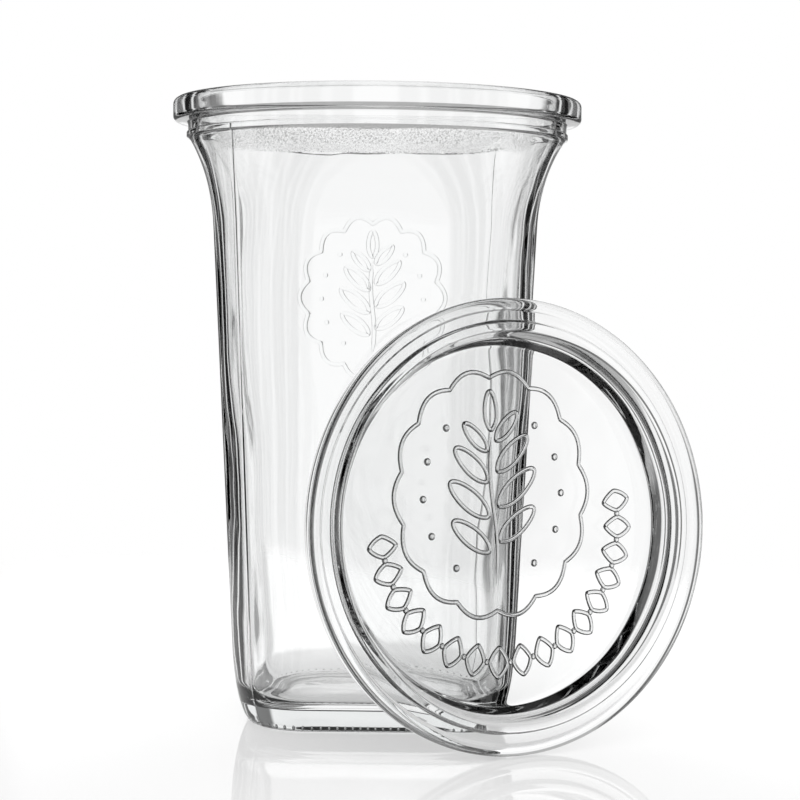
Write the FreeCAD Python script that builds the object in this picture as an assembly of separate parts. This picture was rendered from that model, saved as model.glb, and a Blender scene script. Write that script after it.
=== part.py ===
"""Square preserving jar with its loose glass lid leaning against it.

Frame: millimetres, +Z up, origin at the middle of the jar's bearing ring, the plane it stands on.
The jar's four faces look along X and Y, and the lid leans on the corner between -Y and +X.

jar  - drafted body of rounded-square section, flared shoulder that turns the square into a round
       neck, collar, bead and wide sealing rim; one even wall inside, thick floor, pushed-up base.
lid  - pressed glass dish: wide sealing flange with a bead along its round edge, a raised stacking
       ring, and a sunk panel whose outside is the plug that drops into the mouth and centres the
       rubber ring.
"""
import FreeCAD, Part
import math
import os
from FreeCAD import Vector

os.makedirs("parts", exist_ok=True)

# ---- jar, body ---------------------------------------------------------------------------------
HEIGHT = 162.0          # bearing ring to the top of the rim
BASE_HALF = 31.3        # half width across the faces where the jar stands
FLAT_HALF = 16.3        # half length of the straight part of a face; the rest is corner
HEEL_IN = 4.3           # how far the heel curves in
HEEL_HEIGHT = 20.0      # how high the heel curve reaches
DRAFT_DEG = 2.74        # taper of the four faces, wider towards the neck
SHOULDER_HEIGHT = 22.6  # height over which the faces flare out to the round neck
WALL = 3.0              # glass thickness of faces and corners
FLOOR = 7.0             # glass thickness under the contents
FLOOR_ROUND = 8.5       # curve between floor and wall
BEARING = 4.6           # width of the ring the jar stands on
PUSH_UP = 2.2           # height of the hollow under the base
PUSH_SLOPE = 4.0        # how far the hollow narrows on the way up

# ---- jar, sealing finish -----------------------------------------------------------------------
MOUTH_R = 47.1          # bore of the mouth
MOUTH_STEP = 0.15       # the bore is this much wider than the body's inside where they meet
MOUTH_ROUND = 1.4       # round between bore and top
NECK_WALL = 2.6         # glass thickness at the neck
NECK_FLAT = 0.6         # what is left of the straight part of a face at the neck
COLLAR_HEIGHT = 4.5     # neck to underside of rim
COLLAR_STAND = 0.4      # collar, beyond the neck
BEAD_HEIGHT = 1.9       # bead at the foot of the collar
BEAD_STAND = 0.8        # bead, beyond the neck
RIM_WIDTH = 6.9         # width of the sealing rim, from the bore out
RIM_HEIGHT = 5.9        # thickness of the rim
RIM_TOP_ROUND = 1.6
RIM_UNDER_ROUND = 1.3

# ---- lid ---------------------------------------------------------------------------------------
LID_OVER = 1.5          # the lid's edge, beyond the jar's rim
FLANGE = 4.6            # thickness of its sealing flange
FLANGE_EDGE = 1.9       # round of the flange's edge
PLUG_GAP = 0.6          # plug to mouth, all round
PLUG_DRAFT = 0.6        # how much the plug narrows downwards
PLUG_ROUND = 2.4        # round under the plug's edge
THROAT_OUT = 0.9        # the throat's top edge, beyond the plug
THROAT_IN = 2.4         # the sunk panel's edge, inside the plug
THROAT_ROUND = 1.2      # curves between ring, throat wall and panel
RING_WIDTH = 2.7        # raised stacking ring round the throat
RING_STAND = 0.5        # how far ring and edge bead stand above the flange
RING_ROUND = 0.45       # their rounds
EDGE_BEAD = 3.2         # width of the raised bead along the lid's edge
PANEL_SINK = 7.6        # the sunk panel, below the flange's upper face
PANEL = 4.2             # glass thickness of the panel

# ---- how the lid leans -------------------------------------------------------------------------
LID_TURN_DEG = 28.0     # which way its upper face looks, from -Y towards +X
LID_LEAN_DEG = 5.25     # how far it leans back
LID_ASIDE = 8.0         # its middle, sideways along its own face, from the jar's axis
LEAN_GAP = 0.15         # clearance where the lid meets the jar

# ---- worked out from those ---------------------------------------------------------------------
RIM_Z = HEIGHT - RIM_HEIGHT
NECK_Z = RIM_Z - COLLAR_HEIGHT
SHOULDER_Z = NECK_Z - SHOULDER_HEIGHT
NECK_R = MOUTH_R + NECK_WALL
RIM_R = MOUTH_R + RIM_WIDTH
PLUG_R = MOUTH_R - PLUG_GAP
LID_R = RIM_R + LID_OVER
DRAFT = math.tan(math.radians(DRAFT_DEG))
DIAGONAL = math.sqrt(2.0)
CORNER = DIAGONAL - 1.0


# ---- rounded-square sections -------------------------------------------------------------------
def drafted_half(z):
    """Half width of the body at height z, without the shoulder's flare."""
    rise = min(z / HEEL_HEIGHT, 1.0)
    return BASE_HALF + HEEL_IN * math.sqrt(1.0 - (1.0 - rise) ** 2) + DRAFT * z


def outer_half(z):
    """Half width of the body at height z: draft, then one arc out to the neck."""
    if z <= SHOULDER_Z:
        return drafted_half(z)
    out = NECK_R - drafted_half(NECK_Z)
    bend = 2.0 * out / (SHOULDER_HEIGHT ** 2 + out ** 2)
    up = z - SHOULDER_Z
    return drafted_half(z) + bend * up ** 2 / (1.0 + math.sqrt(1.0 - (bend * up) ** 2))


def outer_flat(z):
    """Half length of the straight part of a face; on the shoulder the corners keep their reach."""
    if z <= SHOULDER_Z:
        return FLAT_HALF
    reach_low = outer_half(SHOULDER_Z) + CORNER * FLAT_HALF
    reach_top = NECK_R + CORNER * NECK_FLAT
    reach = reach_low + (reach_top - reach_low) * (z - SHOULDER_Z) / SHOULDER_HEIGHT
    return max(NECK_FLAT, min(FLAT_HALF, (reach - outer_half(z)) / CORNER))


def inner_half(z):
    """Half width of the space inside: the drafted body less its wall, with a rounded floor."""
    to_neck = max(z - SHOULDER_Z, 0.0) / SHOULDER_HEIGHT
    wall = WALL + (NECK_WALL + MOUTH_STEP - WALL) * to_neck
    faces = outer_half(z) if z > HEEL_HEIGHT else BASE_HALF + HEEL_IN + DRAFT * z
    rise = min((z - FLOOR) / FLOOR_ROUND, 1.0)
    return faces - wall - FLOOR_ROUND * (1.0 - math.sqrt(1.0 - (1.0 - rise) ** 2))


def rounded_square(half, flat, z):
    """Closed wire of four straight sides and four corner arcs."""
    edges = []
    radius = half - flat
    middle = flat + radius / DIAGONAL
    for turn in range(4):
        spin = FreeCAD.Rotation(Vector(0, 0, 1), 90.0 * turn)
        start = spin.multVec(Vector(half, -flat, z))
        corner = spin.multVec(Vector(half, flat, z))
        crown = spin.multVec(Vector(middle, middle, z))
        end = spin.multVec(Vector(flat, half, z))
        edges.append(Part.LineSegment(start, corner).toShape())
        edges.append(Part.Arc(corner, crown, end).toShape())
    return Part.Wire(edges)


def spread(low, high, steps):
    """Heights from low to high, both included, in equal steps."""
    return [low + (high - low) * i / steps for i in range(steps + 1)]


def heel_heights(bottom, height, steps):
    """Heights crowded towards the bottom, where a heel curves most."""
    return [bottom + height * (1.0 - math.cos(0.5 * math.pi * i / steps)) for i in range(steps)]


# ---- jar ---------------------------------------------------------------------------------------
def stack(sections):
    """One solid from three lofts on each other: a curved foot, a straight taper, a curved top.

    Each item is the heights of one loft; the last height of one is the first of the next.
    """
    foot, taper, top = sections
    solid = Part.makeLoft(foot, True, False)
    solid = solid.fuse(Part.makeLoft(taper, True, True))
    return solid.fuse(Part.makeLoft(top, True, False))


def body_outside():
    """Heel, drafted faces and flared shoulder, up to the neck."""
    def wires(heights):
        return [rounded_square(outer_half(z), outer_flat(z), z) for z in heights]

    return stack((wires(heel_heights(0.0, HEEL_HEIGHT, 6) + [HEEL_HEIGHT]),
                  wires([HEEL_HEIGHT, SHOULDER_Z]),
                  wires(spread(SHOULDER_Z, NECK_Z, 6))))


def body_inside():
    """The space inside, from the floor up into the mouth's bore."""
    def wires(heights):
        return [rounded_square(inner_half(z), outer_flat(z), z) for z in heights]

    floor_top = FLOOR + FLOOR_ROUND
    return stack((wires(heel_heights(FLOOR, FLOOR_ROUND, 5) + [floor_top]),
                  wires([floor_top, SHOULDER_Z]),
                  wires(spread(SHOULDER_Z, NECK_Z, 6))))


def hollow_under_base():
    """The shallow pushed-up hollow inside the bearing ring."""
    low = BASE_HALF - BEARING
    wires = []
    for z in spread(0.0, 1.0, 3):
        half = low - PUSH_SLOPE * z ** 2
        wires.append(rounded_square(half, half * FLAT_HALF / BASE_HALF, PUSH_UP * math.sin(0.5 * math.pi * z)))
    return Part.makeLoft(wires, True, False)


def revolve(edges):
    """Solid of revolution about Z of a closed profile in the XZ plane."""
    return Part.Face(Part.Wire(edges)).revolve(Vector(0, 0, 0), Vector(0, 0, 1), 360)


def round_profile(corners):
    """Closed profile from corners (radius, height, round); each round is a tangent arc."""
    count = len(corners)
    joints = []
    for i, (r, z, size) in enumerate(corners):
        here = Vector(r, 0, z)
        back = Vector(corners[i - 1][0], 0, corners[i - 1][1]) - here
        ahead = Vector(corners[(i + 1) % count][0], 0, corners[(i + 1) % count][1]) - here
        if size <= 0.0:
            joints.append((here, None, here))
            continue
        half_angle = 0.5 * back.getAngle(ahead)
        reach = size / math.tan(half_angle)
        back.normalize()
        ahead.normalize()
        bisector = (back + ahead).normalize()
        centre = here + bisector * (size / math.sin(half_angle))
        joints.append((here + back * reach, centre - bisector * size, here + ahead * reach))
    edges = []
    for i, (start, middle, end) in enumerate(joints):
        if middle is not None:
            edges.append(Part.Arc(start, middle, end).toShape())
        following = joints[(i + 1) % count][0]
        if end.distanceToPoint(following) > 1e-6:
            edges.append(Part.LineSegment(end, following).toShape())
    return edges


def finish():
    """Bead, collar and sealing rim as one ring, reaching inwards past the bore."""
    foot = NECK_Z - 1.5
    bead_r = NECK_R + BEAD_STAND
    collar_r = NECK_R + COLLAR_STAND
    inner = MOUTH_R - 2.0
    return revolve(round_profile([
        (inner, foot, 0),
        (outer_half(foot) - 1.0, foot, 0),
        (bead_r, NECK_Z + 0.4, 0.4),
        (bead_r, NECK_Z + BEAD_HEIGHT - 0.3, 0.4),
        (collar_r, NECK_Z + BEAD_HEIGHT, 0.1),
        (collar_r, RIM_Z - 0.3, 0.6),
        (RIM_R, RIM_Z, RIM_UNDER_ROUND),
        (RIM_R, HEIGHT, RIM_TOP_ROUND),
        (inner, HEIGHT, 0),
    ]))


def mouth():
    """What the mouth takes out of the finish: a bore with its top edge rounded."""
    top = HEIGHT + MOUTH_ROUND
    return revolve(round_profile([
        (0, NECK_Z - 0.1, 0),
        (MOUTH_R, NECK_Z - 0.1, 0),
        (MOUTH_R, HEIGHT - MOUTH_ROUND, 0),
        (MOUTH_R + 0.3 * MOUTH_ROUND, HEIGHT - 0.3 * MOUTH_ROUND, MOUTH_ROUND),
        (MOUTH_R + MOUTH_ROUND, HEIGHT, 0),
        (MOUTH_R + MOUTH_ROUND, top, 0),
        (0, top, 0),
    ]))


def jar():
    glass = body_outside().fuse(finish())
    hollow = body_inside().fuse(mouth())
    return glass.cut(hollow).cut(hollow_under_base()).removeSplitter()


# ---- lid ---------------------------------------------------------------------------------------
def lid_lying():
    """The lid flat, upper face up, with the middle of its flange's thickness at z = 0."""
    top = 0.5 * FLANGE
    flat_top = top - RING_STAND
    panel_top = top - PANEL_SINK
    panel_under = panel_top - PANEL
    ring_in = PLUG_R + THROAT_OUT
    ring_out = ring_in + RING_WIDTH
    bead_in = LID_R - EDGE_BEAD
    slope = 0.6 * RING_STAND
    return revolve(round_profile([
        (0, panel_top, 0),
        (PLUG_R - THROAT_IN, panel_top, THROAT_ROUND),
        (ring_in, top, THROAT_ROUND),
        (ring_out - slope, top, RING_ROUND),
        (ring_out, flat_top, 0),
        (bead_in, flat_top, 0),
        (bead_in + slope, top, RING_ROUND),
        (LID_R, top, FLANGE_EDGE),
        (LID_R, -top, FLANGE_EDGE),
        (PLUG_R, -top, 0.8),
        (PLUG_R - PLUG_DRAFT, panel_under, PLUG_ROUND),
        (0, panel_under, 0),
    ]))


def lid_leaning(against):
    """The lid on its edge, turned, leant back and moved in until it is LEAN_GAP from the jar."""
    turn = math.radians(LID_TURN_DEG)
    lean = math.radians(LID_LEAN_DEG)
    facing = Vector(math.sin(turn), -math.cos(turn), 0)
    along = Vector(math.cos(turn), math.sin(turn), 0)
    # the lying lid's +Z becomes the way its upper face looks, and its +X stays level
    upright = FreeCAD.Rotation(Vector(1, 0, 0), 90.0 - LID_LEAN_DEG)
    turned = FreeCAD.Rotation(Vector(0, 0, 1), LID_TURN_DEG)
    pose = turned.multiply(upright)
    # lowest point: on the round of the flange's edge
    stand = ((LID_R - FLANGE_EDGE) * math.cos(lean)
             + (0.5 * FLANGE - FLANGE_EDGE) * math.sin(lean) + FLANGE_EDGE)
    away = LID_R + RIM_R
    lid = lid_lying()
    for _ in range(12):
        centre = along * LID_ASIDE + facing * away + Vector(0, 0, stand)
        placed = lid.copy()
        placed.Placement = FreeCAD.Placement(centre, pose)
        gap = against.distToShape(placed)[0]
        if abs(gap - LEAN_GAP) < 0.005:
            break
        away -= gap - LEAN_GAP
    return placed


def main():
    jar_solid = jar()
    parts = {"jar": jar_solid, "lid": lid_leaning(jar_solid)}
    for name, shape in parts.items():
        solid = shape.Solids[0]
        solid.exportStep(f"parts/{name}.step")
        box = solid.BoundBox
        print(name, "solids", len(shape.Solids), "valid", solid.isValid(),
              "volume_ml", round(solid.Volume / 1000.0, 2),
              "box", [round(v, 2) for v in (box.XMin, box.YMin, box.ZMin, box.XMax, box.YMax, box.ZMax)])
    space = body_inside().fuse(mouth()).common(Part.makeBox(200, 200, HEIGHT, Vector(-100, -100, 0)))
    print("brimful_ml", round(space.Volume / 1000.0, 1))


main()
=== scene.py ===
"""Looks of the square preserving jar and the loose glass lid that leans against it.

Sizes are in millimetres unless a name says otherwise, and MM turns them into the scene's metres.
Every surface is worked out as whole numpy arrays: the jar is a rounded-square section carried along
one closed profile, the lid is a profile turned about its axis, and the raised ornament is a soft
ridge carried along plane curves that are laid onto the glass.
"""
from __future__ import annotations

import logging
import math
from dataclasses import dataclass, field
from enum import Enum
from typing import Callable, Union

import bmesh
import bpy
import numpy as np
from mathutils import Matrix, Vector

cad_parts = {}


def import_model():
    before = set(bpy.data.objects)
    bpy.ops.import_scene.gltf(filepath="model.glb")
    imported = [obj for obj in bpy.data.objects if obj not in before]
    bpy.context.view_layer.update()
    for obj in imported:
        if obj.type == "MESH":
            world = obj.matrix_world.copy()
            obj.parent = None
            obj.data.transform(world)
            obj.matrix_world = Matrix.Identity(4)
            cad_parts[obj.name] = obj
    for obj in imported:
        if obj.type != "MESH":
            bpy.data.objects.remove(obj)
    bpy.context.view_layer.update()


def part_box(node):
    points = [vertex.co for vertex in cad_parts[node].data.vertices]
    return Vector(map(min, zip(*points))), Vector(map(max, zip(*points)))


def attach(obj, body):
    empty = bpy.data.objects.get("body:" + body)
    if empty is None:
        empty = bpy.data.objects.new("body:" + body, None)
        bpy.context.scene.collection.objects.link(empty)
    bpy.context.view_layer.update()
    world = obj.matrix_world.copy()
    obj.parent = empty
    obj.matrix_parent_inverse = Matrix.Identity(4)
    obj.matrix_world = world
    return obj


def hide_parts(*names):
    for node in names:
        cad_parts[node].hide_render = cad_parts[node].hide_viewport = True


MM = 0.001
TAU = 2.0 * math.pi
LOG = logging.getLogger("jar")

Array = np.ndarray
Corner = tuple[float, float, float]
Colour = tuple[float, float, float, float]
Socket = bpy.types.NodeSocket
Input = Union[float, Colour, Socket]


# ---- grids and profiles ------------------------------------------------------------------------
def grid_quads(rows: int, columns: int) -> Array:
    """Corner indices of the quads of a grid of rows x columns points whose columns close to a ring.

    The formula: point (i, j) has index i * columns + j, and each quad joins (i, j), (i, j + 1),
    (i + 1, j + 1) and (i + 1, j), with j taken round.

    Args:
        rows: Number of rows.
        columns: Number of points in a row.

    Returns:
        Array of shape (quads, 4).
    """
    i, j = np.meshgrid(np.arange(rows - 1), np.arange(columns), indexing="ij")
    k = (j + 1) % columns
    quads = np.stack([i * columns + j, i * columns + k, (i + 1) * columns + k, (i + 1) * columns + j], -1)
    return quads.reshape(-1, 4)


def rounded_path(corners: list[Corner], spacing: float, arc_steps: int = 7) -> Array:
    """Open path through corners in the radius-height plane, each corner replaced by a tangent arc.

    The formula: an arc touches both legs at radius / tan(half the angle between them), and its middle
    lies on their bisector at radius / sin(half the angle). Straight runs are filled with equal steps
    no longer than the spacing.

    Args:
        corners: (radius, height, round) of each corner; the ends have no round.
        spacing: Longest step on a straight run.
        arc_steps: Steps on each arc.

    Returns:
        Array of shape (points, 2).
    """
    points = np.array([corner[:2] for corner in corners], float)
    pieces: list[Array] = [points[:1]]
    for i in range(1, len(corners)):
        here = points[i]
        back = points[i - 1] - here
        if i == len(corners) - 1 or corners[i][2] <= 0.0:
            arc = here[None]
        else:
            ahead = points[i + 1] - here
            back_unit, ahead_unit = back / np.linalg.norm(back), ahead / np.linalg.norm(ahead)
            half = 0.5 * math.acos(float(np.clip(back_unit @ ahead_unit, -1.0, 1.0)))
            size = corners[i][2]
            bisector = (back_unit + ahead_unit) / np.linalg.norm(back_unit + ahead_unit)
            middle = here + bisector * size / math.sin(half)
            start, end = here + back_unit * size / math.tan(half), here + ahead_unit * size / math.tan(half)
            turn = math.pi - 2.0 * half
            share = np.linspace(0.0, 1.0, arc_steps + 1)[:, None]
            first, last = start - middle, end - middle
            arc = middle + (np.sin((1.0 - share) * turn) * first + np.sin(share * turn) * last) / math.sin(turn)
        run = arc[0] - pieces[-1][-1]
        steps = max(1, math.ceil(float(np.linalg.norm(run)) / spacing))
        pieces.append(pieces[-1][-1] + run * (np.arange(1, steps)[:, None] / steps))
        pieces.append(arc)
    return np.concatenate(pieces)


def square_reach(angle: Array, half: Array, flat: Array) -> Array:
    """Distance from the axis to a rounded square, in the direction of each angle.

    The formula: a face is the line at distance half, a corner is an arc of radius half - flat about
    the point (flat, flat); folded into one eighth, a ray meets the line when its tangent times half
    is below flat, and the arc elsewhere.

    Args:
        angle: Directions in radians.
        half: Half width across the faces.
        flat: Half length of the straight part of a face.

    Returns:
        Distances, in the broadcast shape of the arguments.
    """
    folded = np.abs((angle + 0.25 * math.pi) % (0.5 * math.pi) - 0.25 * math.pi)
    cosine, sine = np.cos(folded), np.sin(folded)
    along = flat * (cosine + sine)
    on_arc = along + np.sqrt(np.maximum(along**2 - 2.0 * flat**2 + (half - flat) ** 2, 0.0))
    return np.where(half * sine <= flat * cosine, half / cosine, on_arc)


def ease(share: Array) -> Array:
    """Smooth step: three times the share squared less twice its cube, with the share kept in 0..1."""
    share = np.clip(share, 0.0, 1.0)
    return share * share * (3.0 - 2.0 * share)


def turned_quads_with_poles(rows: int, columns: int) -> list[list[int]]:
    """Faces of a closed surface of revolution: a grid of rings, and a fan to a point at each end.

    Args:
        rows: Number of rings.
        columns: Points in a ring.

    Returns:
        Faces; the first pole has index rows * columns and the second the one after it.
    """
    faces = grid_quads(rows, columns).tolist()
    start, end = rows * columns, rows * columns + 1
    ring = np.arange(columns)
    following = (ring + 1) % columns
    faces += np.stack([following, ring, np.full(columns, start)], -1).tolist()
    top = (rows - 1) * columns
    faces += np.stack([top + ring, top + following, np.full(columns, end)], -1).tolist()
    return faces


def new_piece(name: str, points: Array, faces: list[list[int]], finish: bpy.types.Material) -> bpy.types.Object:
    """Makes a smooth-shaded object that sits at the origin, its place in its mesh.

    Args:
        name: Name of the piece.
        points: Vertices in millimetres, shape (count, 3).
        faces: Corners of each face, anticlockwise seen from outside.
        finish: Its material.

    Returns:
        The object, linked to the scene.
    """
    mesh = bpy.data.meshes.new(name)
    mesh.from_pydata((points * MM).tolist(), [], faces)
    mesh.materials.append(finish)
    mesh.polygons.foreach_set("use_smooth", np.ones(len(mesh.polygons), bool))
    mesh.validate()
    mesh.update()
    piece = bpy.data.objects.new(name, mesh)
    bpy.context.scene.collection.objects.link(piece)
    LOG.info("%s: %d points, %d faces", name, len(mesh.vertices), len(mesh.polygons))
    return piece


# ---- finishes ----------------------------------------------------------------------------------
class Nodes:
    """A node tree whose methods add a node, feed it and return what comes out."""

    def __init__(self, owner: bpy.types.Material | bpy.types.World) -> None:
        """Switches the owner to nodes and keeps its tree."""
        owner.use_nodes = True
        self.tree = owner.node_tree

    def feed(self, node: bpy.types.Node, inputs: dict[str | int, Input]) -> None:
        """Links inputs that get a socket and sets those that get a constant."""
        for key, value in inputs.items():
            if isinstance(value, bpy.types.NodeSocket):
                self.tree.links.new(value, node.inputs[key])
            else:
                node.inputs[key].default_value = value

    def add(self, kind: str, inputs: dict[str | int, Input], output: str, **settings: str | bool) -> Socket:
        """Adds a node.

        Args:
            kind: Type of the node.
            inputs: What each input gets, by its name or number.
            output: Name of the output that is wanted.
            **settings: The node's own choices, such as its operation.

        Returns:
            The output.
        """
        node = self.tree.nodes.new(kind)
        for name, choice in settings.items():
            setattr(node, name, choice)
        self.feed(node, inputs)
        return node.outputs[output]

    def maths(self, operation: str, *values: Input) -> Socket:
        """Adds a math node on up to three values."""
        return self.add("ShaderNodeMath", dict(enumerate(values)), "Value", operation=operation)

    def product(self, first: Socket, *others: Input) -> Socket:
        """Multiplies values from left to right."""
        for other in others:
            first = self.maths("MULTIPLY", first, other)
        return first

    def distance(self, value: Socket, middle: float) -> Socket:
        """Distance of a value from a middle."""
        return self.maths("ABSOLUTE", self.maths("SUBTRACT", value, middle))

    def ramp(self, value: Socket, start: float, end: float, before: float = 0.0, after: float = 1.0,
             kind: str = "SMOOTHSTEP") -> Socket:
        """Adds a step in a value.

        Args:
            value: What the step follows.
            start: Where the step begins.
            end: Where it ends, above or below the start.
            before: Level at its start.
            after: Level at its end.
            kind: Interpolation between them.

        Returns:
            The level.
        """
        limits = {"Value": value, "From Min": start, "From Max": end, "To Min": before, "To Max": after}
        return self.add("ShaderNodeMapRange", limits, "Result", interpolation_type=kind)

    def noise(self, place: Socket, per_metre: float, detail: float) -> Socket:
        """Adds a noise texture on the given coordinates."""
        return self.add("ShaderNodeTexNoise", {"Vector": place, "Scale": per_metre, "Detail": detail}, "Fac")

    def bump(self, height: Socket, distance: float, strength: Input, **below: Socket) -> Socket:
        """Adds a bump of the given height, over the Normal below it if there is one."""
        inputs = {"Height": height, "Distance": distance, "Strength": strength, **below}
        return self.add("ShaderNodeBump", inputs, "Normal")

    def mix_colours(self, share: Socket, first: Input, second: Input) -> Socket:
        """Blends from the first colour to the second with the share."""
        return self.add("ShaderNodeMix", {"Factor": share, "A": first, "B": second}, "Result", data_type="RGBA")

    def split(self, vector: Socket) -> bpy.types.NodeOutputs:
        """Splits a vector and returns its X, Y and Z by name."""
        return self.add("ShaderNodeSeparateXYZ", {"Vector": vector}, "X").node.outputs

    def ray_path(self) -> bpy.types.NodeOutputs:
        """Adds a light path node and returns its outputs by name."""
        return self.add("ShaderNodeLightPath", {}, "Is Camera Ray").node.outputs


class Pressing(Enum):
    """How the mould leaves the surface of a piece of glass."""

    BLOWN = "blown"
    PRESSED = "pressed"
    RELIEF = "relief"
    WORN = "worn"


@dataclass(frozen=True)
class ClearGlass:
    """Clear soda-lime glass with the slight ripple, cloudiness and mould grain of pressed ware.

    Lengths are in metres, as a piece's own coordinates are. A pair of shares holds the levels of a
    noise between which an effect sets in.
    """

    pressing: Pressing
    ior: float = 1.52
    body: Colour = (1.0, 1.0, 1.0, 1.0)
    cloud: Colour = (0.98, 0.985, 0.985, 1.0)
    cloud_per_metre: float = 27.0
    depth: Colour = (0.5, 0.55, 0.55, 1.0)
    density: float = 4.0
    haze_shares: tuple[float, float] = (0.55, 0.8)
    haze: float = 0.03
    ripple_per_metre: float = 45.0
    ripple_height: float = 0.00022
    grain_per_metre: float = 2400.0
    grain_height: float = 0.00014
    grain_low: float = 0.1455
    grain_high: float = 0.1530
    grain_fade: float = 0.1
    grain_reach: float = 0.040
    grain_full: float = 0.032
    grain_front: float = 0.01
    patch_per_metre: float = 40.0
    patch_shares: tuple[float, float] = (0.28, 0.5)
    speck: Colour = (0.58, 0.58, 0.58, 1.0)
    speck_shares: tuple[float, float] = (0.52, 0.62)

    def material(self) -> bpy.types.Material:
        """Builds the node material.

        The formula: a soft noise drifts the colour between body and cloud and adds a little haze to
        the roughness. The bump is a long ripple. Blown glass has a fine grain too, in patches below
        the neck, that roughens the bump and darkens the colour in specks.

        Returns:
            The material.
        """
        made = bpy.data.materials.new(f"clear_glass_{self.pressing.value}")
        nodes = Nodes(made)
        place = nodes.add("ShaderNodeTexCoord", {}, "Object")
        cloud = nodes.noise(place, self.cloud_per_metre, 3.0)
        tint = nodes.mix_colours(cloud, self.body, self.cloud)
        normal = nodes.bump(nodes.noise(place, self.ripple_per_metre, 1.5), self.ripple_height, 1.0)
        if self.pressing is Pressing.BLOWN:
            grain = nodes.noise(place, self.grain_per_metre, 1.0)
            patches = self._patches(nodes, place)
            normal = nodes.bump(grain, self.grain_height, patches, Normal=normal)
            specks = nodes.product(nodes.ramp(grain, *self.speck_shares), patches)
            tint = nodes.mix_colours(specks, tint, self.speck)
        nodes.feed(nodes.tree.nodes["Principled BSDF"], {
            "Transmission Weight": 1.0, "IOR": self.ior, "Base Color": tint, "Normal": normal,
            "Roughness": nodes.ramp(cloud, *self.haze_shares, 0.0, self.haze, kind="LINEAR")})
        absorption = {"Color": self.depth, "Density": self.density}
        volume = nodes.add("ShaderNodeVolumeAbsorption", absorption, "Volume")
        nodes.feed(nodes.tree.nodes["Material Output"], {"Volume": volume})
        return made

    def _patches(self, nodes: Nodes, place: Socket) -> Socket:
        """Finds where the grain lies.

        The formula: the product of four smooth steps: in the distance from the middle of a band of
        heights, from back wall to front, in the distance aside, and in a slow noise.

        Args:
            nodes: The material's nodes.
            place: The piece's own coordinates.

        Returns:
            A value that is 1 where the grain is full and 0 where there is none.
        """
        at = nodes.split(place)
        tall = self.grain_high - self.grain_low
        away = nodes.distance(at["Z"], 0.5 * (self.grain_low + self.grain_high))
        band = nodes.ramp(away, 0.5 * tall, self.grain_fade * tall)
        front = nodes.ramp(at["Y"], self.grain_front, -self.grain_front)
        aside = nodes.ramp(nodes.maths("ABSOLUTE", at["X"]), self.grain_reach, self.grain_full)
        patch = nodes.ramp(nodes.noise(place, self.patch_per_metre, 1.0), *self.patch_shares)
        return nodes.product(band, front, aside, patch)


# ---- the jar -----------------------------------------------------------------------------------
Wave = tuple[float, float, float, float]


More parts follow.
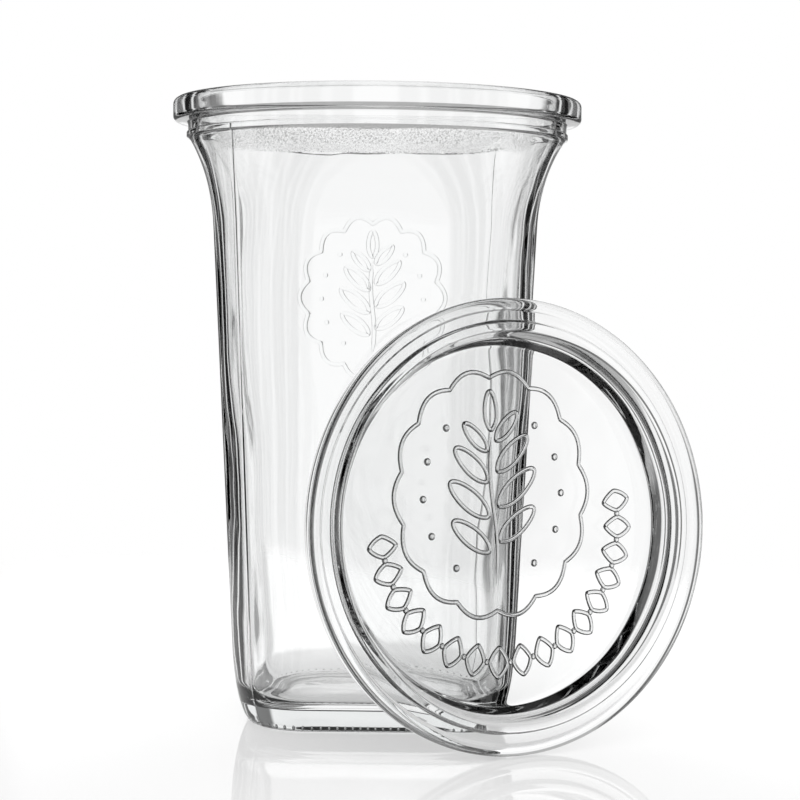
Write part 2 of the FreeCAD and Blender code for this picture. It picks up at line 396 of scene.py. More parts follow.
@dataclass
class Jar:
    """Square glass body that flares into a round mouth with a wide sealing rim.

    Counts of rings say how finely each stretch of the profile is divided. Each wave of the inside has a
    share, the height over which it turns by one radian, its turns round the axis and its phase.
    """

    height: float
    rim_r: float
    glass: bpy.types.Material
    base_half: float = 31.3
    flat_half: float = 16.3
    heel_in: float = 4.3
    heel_height: float = 20.0
    draft: float = math.tan(math.radians(2.74))
    shoulder_height: float = 22.6
    wall: float = 3.0
    floor: float = 5.6
    floor_round: float = 6.0
    bearing: float = 4.6
    push_up: float = 2.2
    push_slope: float = 4.0
    centre_r: float = 2.0
    rim_width: float = 6.9
    rim_height: float = 5.9
    rim_top_round: float = 1.6
    rim_under_round: float = 1.3
    mouth_round: float = 1.4
    mouth_step: float = 0.15
    neck_wall: float = 2.6
    neck_flat: float = 0.6
    neck_gap: float = 0.6
    collar_height: float = 4.5
    collar_stand: float = 0.4
    collar_round: float = 0.6
    bead_height: float = 1.9
    bead_stand: float = 0.8
    bead_round: float = 0.4
    bead_edge: float = 0.1
    edge_drop: float = 0.3
    seam_height: float = 0.16
    seam_width: float = 0.3
    seam_from: float = 0.2
    seam_span: float = 2.2
    seam_clear: float = 0.004
    seam_columns: int = 9
    seam_rings_on_neck: int = 12
    ripple: float = 0.22
    ripple_below_neck: float = 25.0
    ripple_above_floor: float = 18.0
    waves: tuple[Wave, ...] = ((1.0, 17.0, 3.0, 0.6), (0.7, 9.5, -5.0, 0.0), (0.5, 31.0, 8.0, 2.1),
                               (0.35, 5.2, 2.0, 0.0))
    columns: int = 376
    spacing: float = 1.2
    push_rings: int = 9
    centre_rings: int = 8
    bearing_rings: int = 6
    heel_rings: int = 22
    body_rings: int = 34
    shoulder_rings: int = 22
    floor_rings: int = 14

    def __post_init__(self) -> None:
        """Works out the levels and radii that follow from the sizes."""
        self.rim_z = self.height - self.rim_height
        self.neck_z = self.rim_z - self.collar_height
        self.shoulder_z = self.neck_z - self.shoulder_height
        self.mouth_r = self.rim_r - self.rim_width
        self.neck_r = self.mouth_r + self.neck_wall

    def drafted_half(self, z: Array) -> Array:
        """Half width without the shoulder: base plus a quarter-ellipse heel plus the draft times z."""
        rise = np.minimum(z / self.heel_height, 1.0)
        return self.base_half + self.heel_in * np.sqrt(1.0 - (1.0 - rise) ** 2) + self.draft * z

    def outer_half(self, z: Array) -> Array:
        """Half width of the outside: the drafted body plus a circular arc that flares to the neck."""
        out = self.neck_r - float(self.drafted_half(np.array(self.neck_z)))
        bend = 2.0 * out / (self.shoulder_height**2 + out**2)
        up = np.clip(z - self.shoulder_z, 0.0, self.shoulder_height)
        return self.drafted_half(z) + bend * up**2 / (1.0 + np.sqrt(1.0 - (bend * up) ** 2))

    def outer_flat(self, z: Array) -> Array:
        """Straight half length of a face: constant, then falling so that the corners keep their reach."""
        corner = math.sqrt(2.0) - 1.0
        low = float(self.outer_half(np.array(self.shoulder_z))) + corner * self.flat_half
        top = self.neck_r + corner * self.neck_flat
        reach = low + (top - low) * (z - self.shoulder_z) / self.shoulder_height
        shoulder = np.clip((reach - self.outer_half(z)) / corner, self.neck_flat, self.flat_half)
        return np.where(z <= self.shoulder_z, self.flat_half, shoulder)

    def inner_half(self, z: Array) -> Array:
        """Half width of the inside: the outside less its wall, drawn in by a quarter circle at the floor."""
        to_neck = np.maximum(z - self.shoulder_z, 0.0) / self.shoulder_height
        wall = self.wall + (self.neck_wall + self.mouth_step - self.wall) * to_neck
        faces = np.where(z > self.heel_height, self.outer_half(z),
                         self.base_half + self.heel_in + self.draft * z)
        rise = np.clip((z - self.floor) / self.floor_round, 0.0, 1.0)
        return faces - wall - self.floor_round * (1.0 - np.sqrt(1.0 - (1.0 - rise) ** 2))

    def angles(self) -> Array:
        """Directions of the columns: equal steps, with finer ones across the two mould seams."""
        even = np.linspace(0.0, TAU, self.columns, endpoint=False)
        fine = np.linspace(-1.0, 1.0, self.seam_columns) * self.seam_span * self.seam_width / self.neck_r
        seams = [0.25 * math.pi, 1.25 * math.pi]
        kept = np.min([np.abs(even - seam) for seam in seams], 0) > fine[-1] + self.seam_clear
        return np.sort(np.concatenate([even[kept]] + [seam + fine for seam in seams]))

    def finish(self, start: float) -> Array:
        """Profile of the glass finish: bead, collar, rim and bore, from the shoulder to the neck's inside.

        Args:
            start: Half width of the shoulder's last ring.

        Returns:
            Radius and height of each ring after that one.
        """
        bead_r, collar_r = self.neck_r + self.bead_stand, self.neck_r + self.collar_stand
        bead_z = self.neck_z + self.bead_height
        return rounded_path([
            (start, self.neck_z - self.neck_gap, 0.0),
            (bead_r, self.neck_z + self.bead_round, self.bead_round),
            (bead_r, bead_z - self.edge_drop, self.bead_round),
            (collar_r, bead_z, self.bead_edge),
            (collar_r, self.rim_z - self.edge_drop, self.collar_round),
            (self.rim_r, self.rim_z, self.rim_under_round),
            (self.rim_r, self.height, self.rim_top_round),
            (self.mouth_r, self.height, self.mouth_round),
            (self.mouth_r, self.neck_z, 0.0)], self.spacing)[1:]

    def sections(self) -> tuple[Array, Array, Array, range]:
        """Half width, straight half length and height of every ring.

        The rings run from the middle of the underside out over the bearing ring, up the outside, over
        the rim, down the bore and the inside, and in to the middle of the floor.

        Returns:
            Half widths, straight half lengths, heights, and which rings are the outside below the neck.
        """
        low = self.base_half - self.bearing
        share = np.linspace(1.0, 0.0, self.push_rings)
        slope = low - self.push_slope * share**2
        square = self.flat_half / self.base_half
        centre = np.linspace(self.centre_r, slope[0], self.centre_rings)[:-1]
        hollow = np.concatenate([centre, slope])
        hollow_z = self.push_up * np.concatenate([np.ones(len(centre)), np.sin(0.5 * math.pi * share)])
        bearing = np.linspace(low, self.base_half, self.bearing_rings)[1:-1]

        quarter = 0.5 * math.pi * np.linspace(0.0, 1.0, self.heel_rings)
        outside_z = np.concatenate([
            self.heel_height * (1.0 - np.cos(quarter)),
            np.linspace(self.heel_height, self.shoulder_z, self.body_rings)[1:],
            np.linspace(self.shoulder_z, self.neck_z - self.neck_gap, self.shoulder_rings)[1:]])
        outside = self.outer_half(outside_z)
        finish = self.finish(float(outside[-1]))

        quarter = 0.5 * math.pi * np.linspace(0.0, 1.0, self.floor_rings)
        inside_z = np.concatenate([
            np.linspace(self.neck_z, self.shoulder_z, self.shoulder_rings)[1:],
            np.linspace(self.shoulder_z, self.floor + self.floor_round, self.body_rings)[1:],
            self.floor + self.floor_round * (1.0 - np.sin(quarter))[1:]])
        inside = self.inner_half(inside_z)
        inward = np.linspace(inside[-1], self.centre_r, self.floor_rings)[1:]

        half = np.concatenate([hollow, bearing, outside, finish[:, 0], inside, inward])
        z = np.concatenate([hollow_z, np.zeros_like(bearing), outside_z, finish[:, 1], inside_z,
                            np.full_like(inward, self.floor)])
        flat = np.concatenate([hollow * square, bearing * square, self.outer_flat(outside_z),
                               np.zeros(len(finish)), self.outer_flat(inside_z),
                               inward * self.flat_half / inside[-1]])
        first = len(hollow) + len(bearing)
        return half, flat, z, range(first, first + len(outside))

    def build(self) -> bpy.types.Object:
        """Builds the closed glass body.

        The formula: each ring is the rounded square of its half width at its height. Outside, the two
        mould seams add a narrow bell curve across a pair of corners. Inside, a few slow sine waves in
        angle and height thin and thicken the wall, and fade out towards the bore and the floor.

        Returns:
            The piece.
        """
        half, flat, z, outside = self.sections()
        angle, down = self.angles()[None], z[:, None]
        rows = np.arange(len(half))[:, None]
        reach = square_reach(angle, half[:, None], flat[:, None])

        off_seam = np.abs((angle - 0.25 * math.pi + 0.5 * math.pi) % math.pi - 0.5 * math.pi) * reach
        bell = self.seam_height * np.exp(-((off_seam / self.seam_width) ** 2))
        seamed = (rows >= outside.start) & (rows < outside.stop + self.seam_rings_on_neck)
        reach = reach + np.where(seamed & (down > self.seam_from), bell, 0.0)

        wave = sum(share * np.sin(down / tall + turns * angle + phase)
                   for share, tall, turns, phase in self.waves)
        fade = (ease((self.neck_z - down) / self.ripple_below_neck)
                * ease((down - self.floor) / self.ripple_above_floor))
        reach = reach - np.where(rows > np.argmax(z), self.ripple * wave * fade, 0.0)

        points = np.stack(np.broadcast_arrays(reach * np.cos(angle), reach * np.sin(angle), down), -1)
        poles = np.array([[0.0, 0.0, z[0]], [0.0, 0.0, z[-1]]])
        faces = turned_quads_with_poles(len(half), angle.shape[1])
        return new_piece("jar_glass", np.concatenate([points.reshape(-1, 3), poles]), faces, self.glass)

    def front(self, across: Array, up: Array, stand: Array) -> Array:
        """Lays plane points onto the outside of the face that looks along -Y.

        The formula: a point keeps its x and height, and its y is minus the rounded square's distance
        there, less its stand.

        Args:
            across: x of each point.
            up: Height of each point.
            stand: How far each point stands out of the glass.

        Returns:
            Points of shape (..., 3).
        """
        half, flat = self.outer_half(up), self.outer_flat(up)
        over = np.maximum(np.abs(across) - flat, 0.0)
        depth = np.where(over > 0.0, flat + np.sqrt(np.maximum((half - flat) ** 2 - over**2, 0.0)), half)
        return np.stack([across, -depth - stand, up], -1)


# ---- the lid -----------------------------------------------------------------------------------
@dataclass
class Lid:
    """Pressed glass dish: a wide sealing flange round a sunk panel, leaning on its edge.

    Each wave has a share, its turns round the axis and its phase.
    """

    low: Vector
    high: Vector
    glass: bpy.types.Material
    radius: float = 55.5
    plug_r: float = 46.5
    flange: float = 4.6
    flange_edge: float = 1.9
    plug_draft: float = 0.6
    plug_round: float = 2.4
    plug_root: float = 0.8
    throat_out: float = 0.9
    throat_in: float = 2.4
    throat_round: float = 1.2
    ring_width: float = 2.7
    ring_stand: float = 0.8
    ring_round: float = 0.45
    ring_foot: float = 0.3
    ring_slope: float = 0.85
    edge_bead: float = 3.2
    panel_sink: float = 7.6
    panel: float = 4.2
    centre_r: float = 2.0
    turn: float = math.radians(28.0)
    lean: float = math.radians(5.25)
    ripple: float = 0.07
    ripple_width: float = 4.0
    waves: tuple[Corner, ...] = ((1.0, 3.0, 0.4), (0.8, 7.0, 1.9), (0.5, 13.0, 0.0))
    columns: int = 432
    spacing: float = 1.4
    arc_steps: int = 8

    def __post_init__(self) -> None:
        """Works out the pose from the box that the lid stands in.

        The formula: the flange is a disc with a round edge, so along any axis it reaches its flat
        radius times the sine of the angle to its normal, plus half its flat thickness times the
        cosine, plus the round; its middle is that far from the box's lowest y, and midway in x and z.
        """
        facing = Vector((math.sin(self.turn), -math.cos(self.turn), 0.0))
        self.normal = facing * math.cos(self.lean) + Vector((0.0, 0.0, math.sin(self.lean)))
        self.right = Vector((math.cos(self.turn), math.sin(self.turn), 0.0))
        self.up = self.normal.cross(self.right)
        edge, half = self.flange_edge, 0.5 * self.flange
        reach = ((self.radius - edge) * math.sqrt(1.0 - self.normal.y**2)
                 + (half - edge) * abs(self.normal.y) + edge)
        self.middle = Vector((0.5 * (self.low.x + self.high.x), self.low.y + reach,
                              0.5 * (self.low.z + self.high.z)))
        self.panel_top = half - self.panel_sink

    def placed(self, across: Array, up: Array, out: Array) -> Array:
        """Points of the lying lid, taken to where the lid stands: middle + x right + y up + z normal."""
        axes = np.array([self.right, self.up, self.normal])
        lying = np.stack(np.broadcast_arrays(across, up, out), -1)
        return lying @ axes + np.array(self.middle)

    def build(self) -> bpy.types.Object:
        """Builds the closed dish.

        The formula: the profile runs from the middle of the panel's upper face out over the throat, the
        stacking ring, the flange and the bead on its round edge, back under the flange, down the plug
        and in under the panel, and is turned about the axis. Slow waves make the throat uneven.

        Returns:
            The piece.
        """
        top = 0.5 * self.flange
        flat_top = top - self.ring_stand
        under = self.panel_top - self.panel
        ring_in = self.plug_r + self.throat_out
        ring_out = ring_in + self.ring_width
        bead_in = self.radius - self.edge_bead
        slope = self.ring_slope * self.ring_stand
        profile = rounded_path([
            (self.centre_r, self.panel_top, 0.0),
            (self.plug_r - self.throat_in, self.panel_top, self.throat_round),
            (ring_in, top, self.throat_round),
            (ring_out - slope, top, self.ring_round),
            (ring_out, flat_top, self.ring_foot),
            (bead_in, flat_top, self.ring_foot),
            (bead_in + slope, top, self.ring_round),
            (self.radius, top, self.flange_edge),
            (self.radius, -top, self.flange_edge),
            (self.plug_r, -top, self.plug_root),
            (self.plug_r - self.plug_draft, under, self.plug_round),
            (self.centre_r, under, 0.0)], self.spacing, self.arc_steps)
        angle = np.linspace(0.0, TAU, self.columns, endpoint=False)[None]
        radius, out = profile[:, :1], profile[:, 1:]
        near_throat = np.exp(-(((radius - self.plug_r) / self.ripple_width) ** 2))
        wave = sum(share * np.sin(turns * angle + phase) for share, turns, phase in self.waves)
        reach = radius + self.ripple * wave * near_throat
        points = self.placed(reach * np.cos(angle), reach * np.sin(angle), out)
        poles = self.placed(np.zeros(2), np.zeros(2), np.array([self.panel_top, under]))
        faces = [face[::-1] for face in turned_quads_with_poles(len(profile), self.columns)]
        return new_piece("lid_glass", np.concatenate([points.reshape(-1, 3), poles]), faces, self.glass)

    def panel_face(self, across: Array, up: Array, stand: Array) -> Array:
        """Lays plane points onto the panel's upper face, standing out of it by the given amount."""
        return self.placed(across, up, self.panel_top + stand)


# ---- raised ornament ---------------------------------------------------------------------------
Surface = Callable[[Array, Array, Array], Array]
LINE_SPREAD = np.linspace(-0.5, 0.5, 9)
DOT_SHARES = np.array([0.04, 0.3, 0.55, 0.78, 0.92, 1.0, 1.0, 0.04])[:, None]


@dataclass
class Relief:
    """Raised lines and dots of one ornament, gathered into a single mesh."""

    name: str
    lay: Surface
    glass: bpy.types.Material
    ridge: float = 0.34
    width: float = 1.15
    dome: float = 1.35
    sunk: float = 0.03
    points: list[Array] = field(default_factory=list)
    faces: list[list[int]] = field(default_factory=list)

    def line(self, across: Array, up: Array, closed: bool = True) -> None:
        """Adds a ridge along a plane curve.

        The formula: the ridge's section is half a cosine wave, its height the ridge at the middle and
        nothing at the sides, closed by a flat bottom just under the glass. Sections stand across the
        curve, and an open curve narrows to nearly nothing over an eighth of its length at both ends.

        Args:
            across: x of the curve's points.
            up: y of the curve's points.
            closed: Whether the last point joins the first.
        """
        path = np.stack([across, up], -1)
        if closed:
            along = np.roll(path, -1, 0) - np.roll(path, 1, 0)
            taper = np.ones((len(path), 1))
        else:
            along = np.gradient(path, axis=0)
            share = np.linspace(0.0, 1.0, len(path))[:, None]
            taper = np.clip(np.minimum(share, 1.0 - share) * 8.0, 0.08, 1.0)
        along /= np.linalg.norm(along, axis=1, keepdims=True)
        side = np.stack([along[:, 1], -along[:, 0]], -1)
        stand = np.concatenate([self.ridge * np.cos(math.pi * LINE_SPREAD), [-self.sunk, -self.sunk]])
        stand[[0, len(LINE_SPREAD) - 1]] = 0.0
        spread = np.concatenate([LINE_SPREAD, [0.5, -0.5]]) * self.width
        flat = path[:, None] + side[:, None] * (spread * taper)[..., None]
        self._add(self.lay(flat[..., 0], flat[..., 1], stand * np.where(stand > 0.0, taper, 1.0)), closed)

    def dot(self, across: float, up: float, radius: float) -> None:
        """Adds a round dome whose height falls with a cosine from its middle to its edge."""
        turn = np.linspace(0.0, TAU, 16, endpoint=False)[None]
        stand = self.dome * self.ridge * np.cos(0.5 * math.pi * DOT_SHARES)
        stand[-3:] = [[0.0], [-self.sunk], [-self.sunk]]
        reach = radius * DOT_SHARES
        rings = self.lay(across + reach * np.cos(turn), up + reach * np.sin(turn), stand + 0.0 * turn)
        self._add(rings, False)

    def _add(self, rings: Array, closed: bool) -> None:
        """Appends rings of points as a tube, joined end to end or closed by a face at each end."""
        start = sum(len(points) for points in self.points)
        rows, columns = rings.shape[:2]
        count = rows * columns
        if closed:
            faces = (grid_quads(rows + 1, columns) % count).tolist()
        else:
            faces = grid_quads(rows, columns).tolist()
            faces += [list(range(columns))[::-1], list(range(count - columns, count))]
        self.points.append(rings.reshape(-1, 3))
        self.faces += [[start + index for index in face] for face in faces]

    def build(self) -> bpy.types.Object:
        """Makes the gathered ridges and dots one piece with its faces turned outwards."""
        return turned_outwards(new_piece(self.name, np.concatenate(self.points), self.faces, self.glass))


def turned_outwards(piece: bpy.types.Object) -> bpy.types.Object:
    """Recalculates the normals of a piece made of closed shells so that they all point outwards."""
    shell = bmesh.new()
    shell.from_mesh(piece.data)
    bmesh.ops.recalc_face_normals(shell, faces=shell.faces)
    shell.to_mesh(piece.data)
    shell.free()
    return piece


@dataclass
class Medallion:
    """Scalloped oval with a leaf sprig: a common ornament that names nobody.

    Stem, leaves and dots shrink with the half width. Leaves have a height, a length and a lean in
    degrees, and dots a height and a distance from the stem.
    """

    middle: tuple[float, float]
    half_width: float = 26.5
    half_height: float = 29.5
    scallops: int = 14
    scallop_depth: float = 0.9
    stem_foot: float = -22.0
    stem_length: float = 36.0
    stem_sway: float = 0.7
    leaves: tuple[Corner, ...] = ((-13.5, 12.5, 52.0), (-5.0, 13.5, 50.0), (3.5, 12.0, 46.0), (11.0, 9.0, 42.0))
    leaf_apart: tuple[float, float] = (0.6, 1.2)
    leaf_gap: float = 1.2
    leaf_width: float = 0.24
    leaf_narrowing: float = 0.18
    leaf_point: float = 0.3
    tip_leaf: Corner = (14.5, 9.5, 0.0)
    dots: tuple[tuple[float, float], ...] = ((-17.5, 11.0), (-9.5, 17.5), (-0.5, 19.5), (8.5, 18.0),
                                             (16.5, 12.5))
    dot_r: float = 0.95

    def __post_init__(self) -> None:
        """Works out the scale against the usual half width."""
        self.scale = self.half_width / Medallion.half_width

    def draw(self, relief: Relief) -> None:
        """Draws the outline, the stem, its leaves and the small dots beside them.

        Args:
            relief: Where the ridges go.
        """
        self._outline(relief)
        self._stem(relief)
        for height, length, lean in self.leaves:
            for side in (-1.0, 1.0):
                foot = (self.leaf_apart[0] * side, height + self.leaf_apart[1] * side)
                self._leaf(relief, foot, length, side * lean)
        height, length, lean = self.tip_leaf
        self._leaf(relief, (0.0, height), length, lean)
        for height, reach in self.dots:
            for side in (-1.0, 1.0):
                relief.dot(self.middle[0] + side * reach * self.scale, self.middle[1] + height * self.scale,
                           self.dot_r * self.scale)

    def _outline(self, relief: Relief) -> None:
        """Adds the outline: an ellipse whose radius swells with the absolute sine of the angle."""
        turn = np.linspace(0.0, TAU, 280, endpoint=False)
        bow = 2.0 * np.abs(np.sin(0.5 * self.scallops * turn)) - 1.0
        swell = 1.0 + self.scallop_depth / self.half_width * bow
        relief.line(self.middle[0] + self.half_width * swell * np.sin(turn),
                    self.middle[1] + self.half_height * swell * np.cos(turn))

    def _stem(self, relief: Relief) -> None:
        """Adds the stem: a nearly straight line with one slow sideways wave."""
        share = np.linspace(0.0, 1.0, 40)
        relief.line(self.middle[0] + self.scale * self.stem_sway * np.sin(TAU * share),
                    self.middle[1] + self.scale * (self.stem_foot + self.stem_length * share), closed=False)

    def _leaf(self, relief: Relief, foot: tuple[float, float], length: float, lean: float) -> None:
        """Adds the outline of a leaf.

        The formula: along its axis the outline runs as half of one less the cosine, and across it as
        the sine, narrowed towards the tip and at both points; the axis leans from upright.

        Args:
            relief: Where the ridges go.
            foot: Where the leaf springs from, against the ornament's middle.
            length: Length of the leaf.
            lean: Degrees from upright, positive to the right.
        """
        turn = np.linspace(0.0, TAU, 56, endpoint=False)
        out = self.leaf_gap + length * 0.5 * (1.0 - np.cos(turn))
        across = self.leaf_width * length * np.sin(turn)
        across *= 1.0 - self.leaf_narrowing + self.leaf_narrowing * np.cos(turn)
        across *= np.abs(np.sin(0.5 * turn)) ** self.leaf_point
        c, s = math.cos(math.radians(lean)), math.sin(math.radians(lean))
        relief.line(self.middle[0] + self.scale * (foot[0] + out * s + across * c),
                    self.middle[1] + self.scale * (foot[1] + out * c - across * s))


@dataclass
class LozengeBand:
    """Curved band of lozenges and dots that follows the lower edge of the panel."""

    radius: float = 33.5
    half_height: float = 3.6
    half_width: float = 2.5
    bow: float = 1.5
    first_deg: float = 186.0
    last_deg: float = 368.0
    count: int = 17
    dot_r: float = 0.8

    def draw(self, relief: Relief) -> None:
        """Draws the lozenges, each a diamond with bowed sides, and a dot between each two.

        The formula: a lozenge follows the sign of the cosine and sine times their size to the power of
        the bow, bent round the band's radius.

        Args:
            relief: Where the ridges go.
        """
        places = np.radians(np.linspace(self.first_deg, self.last_deg, self.count))
        turn = np.linspace(0.0, TAU, 48, endpoint=False)
        across = self.half_width * np.sign(np.cos(turn)) * np.abs(np.cos(turn)) ** self.bow
        out = self.radius + self.half_height * np.sign(np.sin(turn)) * np.abs(np.sin(turn)) ** self.bow
        for place in places:
            angle = place + across / self.radius
            relief.line(out * np.cos(angle), out * np.sin(angle))
        for place in places[:-1] + 0.5 * (places[1] - places[0]):
            relief.dot(self.radius * math.cos(place), self.radius * math.sin(place), self.dot_r)


@dataclass
class BearingKnurl:
    """Row of short ribs round the foot, which keep the jar from sticking while it is hot."""

    jar: Jar
    pitch: float = 2.1
    length: float = 1.5
    width: float = 0.8
    stand: float = 0.15
    level: float = 0.55
    middle_z: float = 1.15
    tip: float = 0.12
    rings: int = 5
    sides: int = 8

    def build(self) -> bpy.types.Object:
        """Builds all ribs at once.

        The formula: ribs stand at equal angles on the bearing ring's outer edge; each is half an
        ellipsoid given by two angles, its long axis up and down the heel.

        Returns:
            The piece.
        """
        jar = self.jar
        girth = 8.0 * jar.flat_half + TAU * (jar.base_half - jar.flat_half)
        count = int(round(girth / self.pitch))
        half = np.array(float(jar.outer_half(np.array(self.level))))
        around, nudge = np.linspace(0.0, TAU, count, endpoint=False), 1e-3
        middle, beyond = (self._on_foot(angle, half) for angle in (around, around + nudge))
        ahead = beyond - middle
        ahead /= np.linalg.norm(ahead, axis=1, keepdims=True)
        out = np.stack([ahead[:, 1], -ahead[:, 0], np.zeros(count)], -1)
        polar, turn = np.meshgrid(np.linspace(self.tip, math.pi - self.tip, self.rings),
                                  np.linspace(0.0, TAU, self.sides, endpoint=False), indexing="ij")
        shape = np.stack([0.5 * self.width * np.sin(polar) * np.cos(turn),
                          self.stand * np.sin(polar) * np.sin(turn),
                          0.5 * self.length * np.cos(polar)], -1).reshape(-1, 3)
        axes = np.stack(np.broadcast_arrays(ahead, out, np.array([0.0, 0.0, 1.0])), 1)
        points = middle[:, None] + shape @ axes
        size = self.rings * self.sides
        one = grid_quads(self.rings, self.sides).tolist()
        one += [list(range(self.sides))[::-1], list(range(size - self.sides, size))]
        faces = [[size * rib + index for index in face] for rib in range(count) for face in one]
        return turned_outwards(new_piece("jar_knurl", points.reshape(-1, 3), faces, jar.glass))

    def _on_foot(self, angle: Array, half: Array) -> Array:
        """Points at the ribs' height on the foot, in the direction of each angle."""
        reach = square_reach(angle, half, np.array(self.jar.flat_half))
        return np.stack([reach * np.cos(angle), reach * np.sin(angle), np.full(len(angle), self.middle_z)], -1)


# ---- the studio --------------------------------------------------------------------------------
@dataclass
class Studio:
    """Pale glossy table, white surround whose dark parts only show in glass, and camera, in metres."""

    camera_at: tuple[float, float, float] = (0.01145, -0.50428, 0.11264)
    pan: float = math.radians(-0.551)
    pitch: float = math.radians(3.386)
    roll: float = math.radians(0.513)
    lens_mm: float = 84.77
    sensor_mm: float = 36.0
    soft_deg: float = 1.5
    grey_middle_deg: float = 19.5
    grey_half_deg: float = 6.5
    grey_tone: float = 0.18
    walls_crossed: float = 4.0
    black_middle_deg: float = 36.5
    black_half_deg: float = 7.0
    black_tone: float = 0.0
    black_bounces: tuple[float, float] = (1.0, 2.0)
    guided_bounces: float = 2.0
    guided_tone: float = 0.65
    cap_deg: float = 12.0
    cap_soft_deg: float = 6.0
    cap_tone: float = 0.45
    table_half: float = 3.0
    table_gap: float = 0.0002
    table_reach: float = 0.20
    table_end: float = 0.32
    table_colour: Colour = (0.5, 0.5, 0.5, 1.0)
    table_glow: float = 0.49
    table_roughness: float = 0.03
    table_ior: float = 1.5

    def camera(self) -> None:
        """Places the camera: it looks along pan and pitch, and its sides are turned by the roll."""
        fwd = Vector((math.sin(self.pan) * math.cos(self.pitch), math.cos(self.pan) * math.cos(self.pitch),
                      -math.sin(self.pitch)))
        level = fwd.cross(Vector((0.0, 0.0, 1.0))).normalized()
        above = level.cross(fwd)
        right = level * math.cos(self.roll) + above * math.sin(self.roll)
        up = above * math.cos(self.roll) - level * math.sin(self.roll)
        data = bpy.data.cameras.new("camera")
        data.lens = self.lens_mm
        data.sensor_width = self.sensor_mm
        data.clip_start = 0.01
        eye = bpy.data.objects.new("camera", data)
        turn = Matrix((right, up, -fwd)).transposed()
        eye.matrix_world = Matrix.Translation(self.camera_at) @ turn.to_4x4()
        bpy.context.scene.collection.objects.link(eye)
        bpy.context.scene.camera = eye

    def surround(self) -> None:
        """Makes the world: white, with grey and black strips and a grey cap that only show in glass.

        The formula: the azimuth is folded back and forth between 0 and 45 degrees, and four tones are
        multiplied: a grey strip round one folded azimuth, a black strip round another for rays that
        were reflected once or twice, an even grey for rays guided inside the glass, which were
        reflected twice or more, and a grey cap overhead. Rays that only crossed two walls miss the
        grey strip and the cap. Camera and diffuse rays see plain white.
        """
        world = bpy.data.worlds.new("surround")
        bpy.context.scene.world = world
        nodes = Nodes(world)
        ray = nodes.split(nodes.add("ShaderNodeTexCoord", {}, "Generated"))
        path = nodes.ray_path()
        bounces = path["Glossy Depth"]
        azimuth = nodes.maths("PINGPONG", nodes.maths("ARCTAN2", ray["Y"], ray["X"]), math.pi / 4.0)

        crossed = nodes.maths("COMPARE", path["Transmission Depth"], self.walls_crossed, 0.5)
        crossed = nodes.product(crossed, nodes.maths("LESS_THAN", bounces, 0.5))
        grey = self._strip(nodes, azimuth, self.grey_middle_deg, self.grey_half_deg, self.grey_tone)
        grey = nodes.maths("MAXIMUM", grey, crossed)

        first, last = self.black_bounces
        others = nodes.maths("GREATER_THAN", nodes.distance(bounces, 0.5 * (first + last)),
                             0.5 * (last - first) + 0.5)
        black = self._strip(nodes, azimuth, self.black_middle_deg, self.black_half_deg, self.black_tone)
        black = nodes.maths("MAXIMUM", black, others)
        direct = nodes.maths("LESS_THAN", bounces, self.guided_bounces - 0.5)
        guided = nodes.maths("MAXIMUM", direct, self.guided_tone)

        low, high = (math.sin(math.radians(edge)) for edge in (self.cap_deg, self.cap_deg + self.cap_soft_deg))
        cap = nodes.maths("MAXIMUM", nodes.ramp(ray["Z"], low, high, 1.0, self.cap_tone), crossed)
        plain = nodes.maths("MAXIMUM", path["Is Camera Ray"], path["Is Diffuse Ray"])
        tones = {"Factor": plain, "A": nodes.product(grey, black, guided, cap), "B": 1.0}
        nodes.feed(nodes.tree.nodes["Background"], {"Color": nodes.add("ShaderNodeMix", tones, "Result")})

    def _strip(self, nodes: Nodes, azimuth: Socket, middle_deg: float, half_deg: float, tone: float) -> Socket:
        """Tone of an upright strip: dark near its middle, 1 away from it, with soft edges."""
        off = nodes.distance(azimuth, math.radians(middle_deg))
        half, soft = math.radians(half_deg), math.radians(self.soft_deg)
        return nodes.ramp(off, half - soft, half + soft, tone, 1.0)

    def table(self) -> None:
        """Makes the table: one large plain plate, white and glossy, just under the bearing ring.

        The formula: it turns transparent between two distances from the jar's axis, and is transparent
        for rays that were both reflected and transmitted, so that glass stays as bright as the surround.
        """
        finish = bpy.data.materials.new("table_white")
        nodes = Nodes(finish)
        shader = nodes.tree.nodes["Principled BSDF"]
        nodes.feed(shader, {"Base Color": self.table_colour, "Emission Color": (1.0, 1.0, 1.0, 1.0),
                            "Emission Strength": self.table_glow, "Roughness": self.table_roughness,
                            "IOR": self.table_ior})
        place = nodes.add("ShaderNodeTexCoord", {}, "Object")
        out = nodes.add("ShaderNodeVectorMath", {0: place}, "Value", operation="LENGTH")
        path = nodes.ray_path()
        guided = nodes.product(path["Glossy Depth"], path["Transmission Depth"])
        clear = nodes.add("ShaderNodeMath", {0: nodes.ramp(out, self.table_reach, self.table_end), 1: guided},
                          "Value", operation="ADD", use_clamp=True)
        nothing = nodes.add("ShaderNodeBsdfTransparent", {}, "BSDF")
        blend = {"Fac": clear, 1: shader.outputs["BSDF"], 2: nothing}
        surface = nodes.add("ShaderNodeMixShader", blend, "Shader")
        nodes.feed(nodes.tree.nodes["Material Output"], {"Surface": surface})
        corners = np.array([(-1, -1, -1), (1, -1, -1), (1, 1, -1), (-1, 1, -1)])
        size = np.array([self.table_half, self.table_half, self.table_gap])
        new_piece("table", corners * size / MM, [[0, 1, 2, 3]], finish)

    def build(self) -> None:
        """Builds the camera, the surround and the table, and sets plain colour handling."""
        self.camera()
        self.surround()
        self.table()
        bpy.context.scene.view_settings.view_transform = "Standard"


# ---- all together ------------------------------------------------------------------------------
def box_mm(node: str) -> tuple[Vector, Vector]:
    """Lowest and highest corner of a node of the frame, in millimetres."""
    low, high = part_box(node)
    return low / MM, high / MM


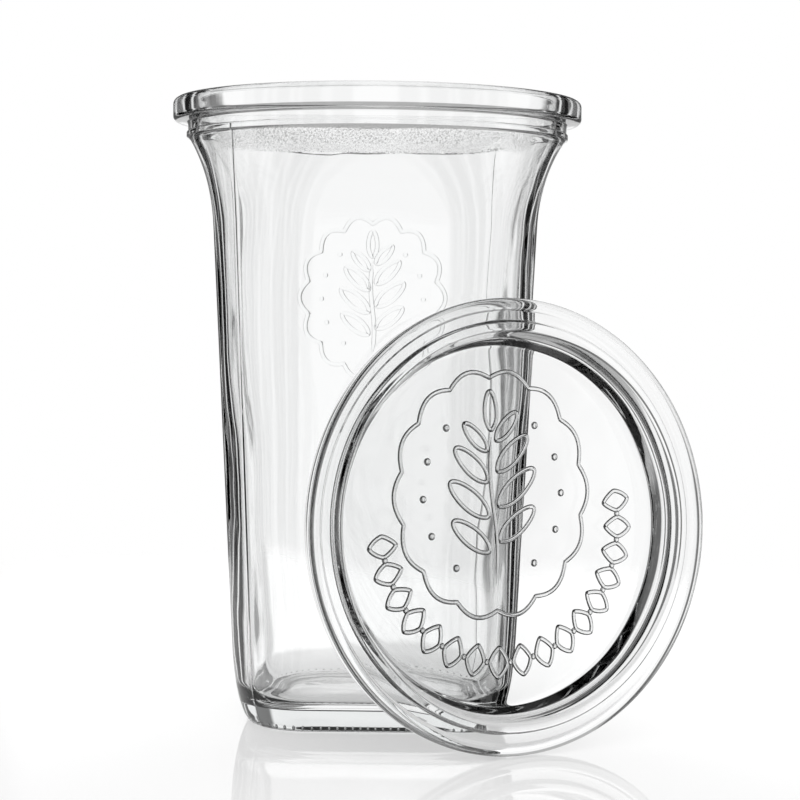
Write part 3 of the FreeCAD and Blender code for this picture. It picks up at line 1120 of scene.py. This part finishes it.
def dress(piece: bpy.types.Object, *nodes: str) -> None:
    """Rides a piece on the one body, and lets it stand for the nodes named."""
    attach(piece, "root")
    if nodes:
        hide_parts(*nodes)
    LOG.info("%s rides on root, stands for %s", piece.name, ", ".join(nodes) or "nothing")


def main() -> None:
    """Loads the frame, builds studio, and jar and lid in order."""
    logging.basicConfig(level=logging.INFO, format="%(name)s: %(message)s")
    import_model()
    Studio().build()

    jar_high = box_mm("jar")[1]
    jar = Jar(height=jar_high.z, rim_r=jar_high.x, glass=ClearGlass(Pressing.BLOWN).material())
    dress(jar.build(), "jar")
    dress(BearingKnurl(jar).build())
    worn = ClearGlass(Pressing.WORN, ior=1.13).material()
    jar_relief = Relief("jar_relief", jar.front, worn, ridge=0.05, width=1.05)
    Medallion(middle=(0.0, 110.3), half_width=17.0, half_height=19.0).draw(jar_relief)
    dress(jar_relief.build())

    lid_low, lid_high = box_mm("lid")
    lid = Lid(low=lid_low, high=lid_high, glass=ClearGlass(Pressing.PRESSED).material())
    dress(lid.build(), "lid")
    lid_relief = Relief("lid_relief", lid.panel_face, ClearGlass(Pressing.RELIEF).material())
    Medallion(middle=(-2.5, 7.8)).draw(lid_relief)
    LozengeBand().draw(lid_relief)
    dress(lid_relief.build())


if __name__ == "__main__":
    main()
